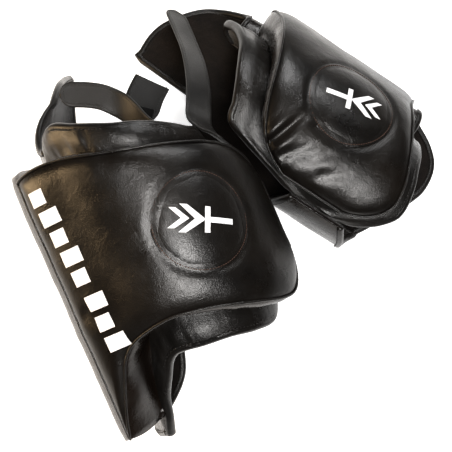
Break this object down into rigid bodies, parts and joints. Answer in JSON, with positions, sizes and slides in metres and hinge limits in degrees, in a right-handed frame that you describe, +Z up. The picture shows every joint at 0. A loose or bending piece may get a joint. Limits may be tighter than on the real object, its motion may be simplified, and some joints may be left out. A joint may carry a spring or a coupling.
{
  "type": "pair of trainer thigh pads",
  "caption": "Pair of padded leather thigh guards for martial-arts trainers, mirrored left and right, each a curved strike pad with a round target, side wings and straps",
  "frame": {"origin": "centre of the pair's bounding box in plan, at the floor it lies on", "axes": "+Z up, floor at z = 0, +X to the viewer's right and +Y away from the viewer of the stored view; the left pad's thigh axis points up and to the left at 149 degrees from +X, the right pad's at 114 degrees"},
  "size_m": [0.5118, 0.5911, 0.2947],
  "materials": {
    "leather_black": "glossy grained leather",
    "leather_panel": "glossy smooth leather",
    "binding": "woven edge tape",
    "lining": "brushed fleece",
    "foam_soft": "open foam, matt",
    "foam_dense": "closed-cell foam, matt",
    "hook": "hook and loop tape",
    "print_white": "flat printed film"
  },
  "bodies": {
    "left_pad": {"left_gusset_hip": "leather_panel", "left_gusset_inner": "leather_panel", "left_gusset_knee": "leather_panel", "left_gusset_outer": "leather_panel", "left_loop_patch": "hook", "left_outer_wing_foam": "foam_soft", "left_outer_wing_leather": "leather_black", "left_outer_wing_lining": "lining", "left_rim_binding_hip": "binding", "left_rim_binding_knee": "binding", "left_side_bars": "print_white", "left_strike_core": "foam_soft", "left_strike_face": "leather_black", "left_strike_foam": "foam_dense", "left_target_device": "print_white", "left_target_foam": "foam_dense", "left_target_leather": "leather_black", "left_wrap_foam": "foam_soft", "left_wrap_leather": "leather_black", "left_wrap_lining": "lining"},
    "left_inner_wing": {"left_inner_wing_foam": "foam_soft", "left_inner_wing_leather": "leather_black", "left_inner_wing_lining": "lining"},
    "left_low_strap": {"left_low_strap": "leather_panel", "left_low_strap_hook": "hook"},
    "left_top_strap": {"left_top_strap": "leather_panel", "left_top_strap_hook": "hook"},
    "right_pad": {"right_gusset_hip": "leather_panel", "right_gusset_inner": "leather_panel", "right_gusset_knee": "leather_panel", "right_gusset_outer": "leather_panel", "right_rim_binding_hip": "binding", "right_rim_binding_knee": "binding", "right_side_bars": "print_white", "right_strike_core": "foam_soft", "right_strike_face": "leather_black", "right_strike_foam": "foam_dense", "right_target_device": "print_white", "right_target_foam": "foam_dense", "right_target_leather": "leather_black", "right_wrap_foam": "foam_soft", "right_wrap_leather": "leather_black", "right_wrap_lining": "lining"},
    "right_inner_wing": {"right_inner_wing_foam": "foam_soft", "right_inner_wing_leather": "leather_black", "right_inner_wing_lining": "lining"},
    "right_outer_wing": {"right_loop_patch": "hook", "right_outer_wing_foam": "foam_soft", "right_outer_wing_leather": "leather_black", "right_outer_wing_lining": "lining"},
    "right_low_strap": {"right_low_strap": "leather_panel", "right_low_strap_hook": "hook"},
    "right_top_strap": {"right_top_strap": "leather_panel", "right_top_strap_hook": "hook"}
  },
  "joints": [
    {"name": "right_pad_lift_off", "type": "slide", "parent": "left_pad", "child": "right_pad", "axis": [0, 0, 1], "range_m": [0, 0.35]},
    {"name": "right_outer_wing_fold", "type": "hinge", "parent": "right_pad", "child": "right_outer_wing", "pos_m": [-0.17593, -0.10308, 0.17302], "axis": [-0.4046, 0.8961, 0.1822], "range_deg": [0, 12]},
    {"name": "right_inner_wing_fold", "type": "hinge", "parent": "right_pad", "child": "right_inner_wing", "pos_m": [0.00912, -0.05922, 0.14872], "axis": [-0.4046, 0.8961, 0.1822], "range_deg": [0, 20]},
    {"name": "right_top_strap_fold", "type": "hinge", "parent": "right_pad", "child": "right_top_strap", "pos_m": [-0.06435, 0.0221, 0.2003], "axis": [0.4046, -0.8961, -0.1822], "range_deg": [0, 20]},
    {"name": "right_low_strap_fold", "type": "hinge", "parent": "right_outer_wing", "child": "right_low_strap", "pos_m": [-0.15572, 0.00575, 0.01198], "axis": [0.4046, -0.8961, -0.1822], "range_deg": [0, 20]},
    {"name": "left_inner_wing_fold", "type": "hinge", "parent": "left_pad", "child": "left_inner_wing", "pos_m": [0.08569, -0.02449, 0.13495], "axis": [0.8414, -0.5056, -0.1908], "range_deg": [0, 20]},
    {"name": "left_top_strap_fold", "type": "hinge", "parent": "left_pad", "child": "left_top_strap", "pos_m": [-0.02315, 0.05502, 0.15707], "axis": [0.8414, -0.5056, -0.1908], "range_deg": [0, 20]},
    {"name": "left_low_strap_fold", "type": "hinge", "parent": "left_pad", "child": "left_low_strap", "pos_m": [-0.12413, 0.18686, 0.04376], "axis": [-0.8414, 0.5056, 0.1908], "range_deg": [0, 20]}
  ]
}
